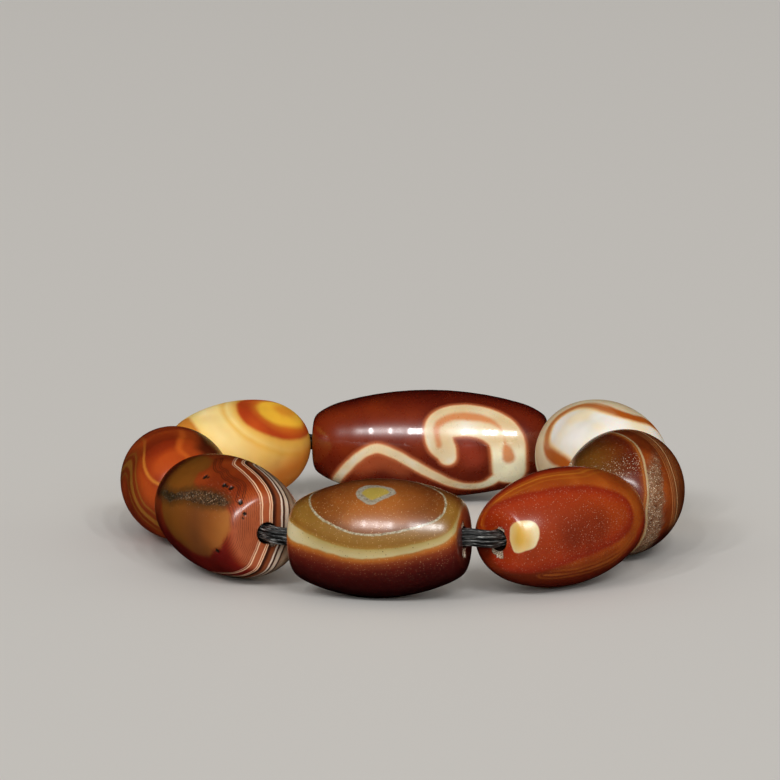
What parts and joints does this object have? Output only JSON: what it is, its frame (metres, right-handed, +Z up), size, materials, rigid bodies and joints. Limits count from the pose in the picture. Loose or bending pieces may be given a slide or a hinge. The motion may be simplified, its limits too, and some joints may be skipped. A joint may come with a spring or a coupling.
{
  "type": "dzi bead bracelet",
  "caption": "Bracelet of drilled agate barrel beads, one with an etched scroll, on a black elastic thread, lying in a closed oval loop.",
  "frame": {"origin": "on the table, under the middle of the loop's box", "axes": "+Z up from the table, -Y towards the front bead, +X to its right"},
  "size_m": [0.0734, 0.086, 0.016],
  "materials": {
    "brown_eye_agate": "polished",
    "orange_red_agate": "polished",
    "olive_brown_agate": "polished",
    "white_agate": "polished",
    "etched_dark_agate": "polished",
    "honey_agate": "polished",
    "banded_red_agate": "polished",
    "striped_brown_agate": "polished",
    "elastic": "satin"
  },
  "bodies": {
    "root": {"front_bead": "brown_eye_agate", "front_right_bead": "orange_red_agate", "right_bead": "olive_brown_agate", "back_right_bead": "white_agate", "long_back_bead": "etched_dark_agate", "back_left_bead": "honey_agate", "left_bead": "banded_red_agate", "front_left_bead": "striped_brown_agate", "thread": "elastic"}
  },
  "joints": []
}
